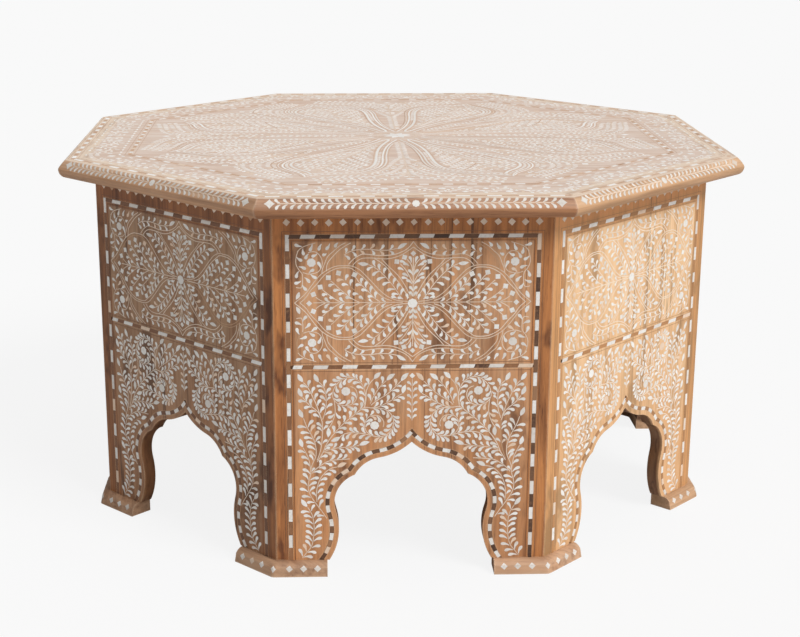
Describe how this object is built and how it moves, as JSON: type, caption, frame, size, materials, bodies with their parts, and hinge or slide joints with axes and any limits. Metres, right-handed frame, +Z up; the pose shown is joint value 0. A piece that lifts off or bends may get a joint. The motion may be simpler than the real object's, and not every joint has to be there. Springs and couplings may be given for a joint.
{
  "type": "octagonal low table",
  "caption": "Low octagonal inlaid wooden table: arched side panels on moulded corner feet carry a wide boarded top with a moulded edge.",
  "frame": {"origin": "on the floor under the middle of the table", "axes": "+Z up, -Y towards the front side, whose face is square to it; +X to the right of that side"},
  "size_m": [0.9, 0.9, 0.485],
  "materials": {
    "top_wood": "satin",
    "side_wood": "satin",
    "foot_wood": "satin",
    "inner_wood": "matte",
    "banding": "satin"
  },
  "bodies": {
    "root": {"top_board_1": "top_wood", "top_board_2": "top_wood", "top_board_3": "top_wood", "top_board_4": "top_wood", "top_board_5": "top_wood", "top_edge_moulding_1": "top_wood", "top_edge_moulding_2": "top_wood", "top_edge_moulding_3": "top_wood", "top_edge_moulding_4": "top_wood", "top_edge_moulding_5": "top_wood", "top_edge_moulding_6": "top_wood", "top_edge_moulding_7": "top_wood", "top_edge_moulding_8": "top_wood", "side_panel_1": "side_wood", "side_panel_2": "side_wood", "side_panel_3": "side_wood", "side_panel_4": "side_wood", "side_panel_5": "side_wood", "side_panel_6": "side_wood", "side_panel_7": "side_wood", "side_panel_8": "side_wood", "foot_block_1": "foot_wood", "foot_block_2": "foot_wood", "foot_block_3": "foot_wood", "foot_block_4": "foot_wood", "foot_block_5": "foot_wood", "foot_block_6": "foot_wood", "foot_block_7": "foot_wood", "foot_block_8": "foot_wood", "top_cleat_1": "inner_wood", "top_cleat_2": "inner_wood", "top_cleat_3": "inner_wood", "top_cleat_4": "inner_wood", "top_cleat_5": "inner_wood", "top_cleat_6": "inner_wood", "top_cleat_7": "inner_wood", "top_cleat_8": "inner_wood", "corner_glue_block_1": "inner_wood", "corner_glue_block_2": "inner_wood", "corner_glue_block_3": "inner_wood", "corner_glue_block_4": "inner_wood", "corner_glue_block_5": "inner_wood", "corner_glue_block_6": "inner_wood", "corner_glue_block_7": "inner_wood", "corner_glue_block_8": "inner_wood", "side_banding": "banding"}
  },
  "joints": []
}
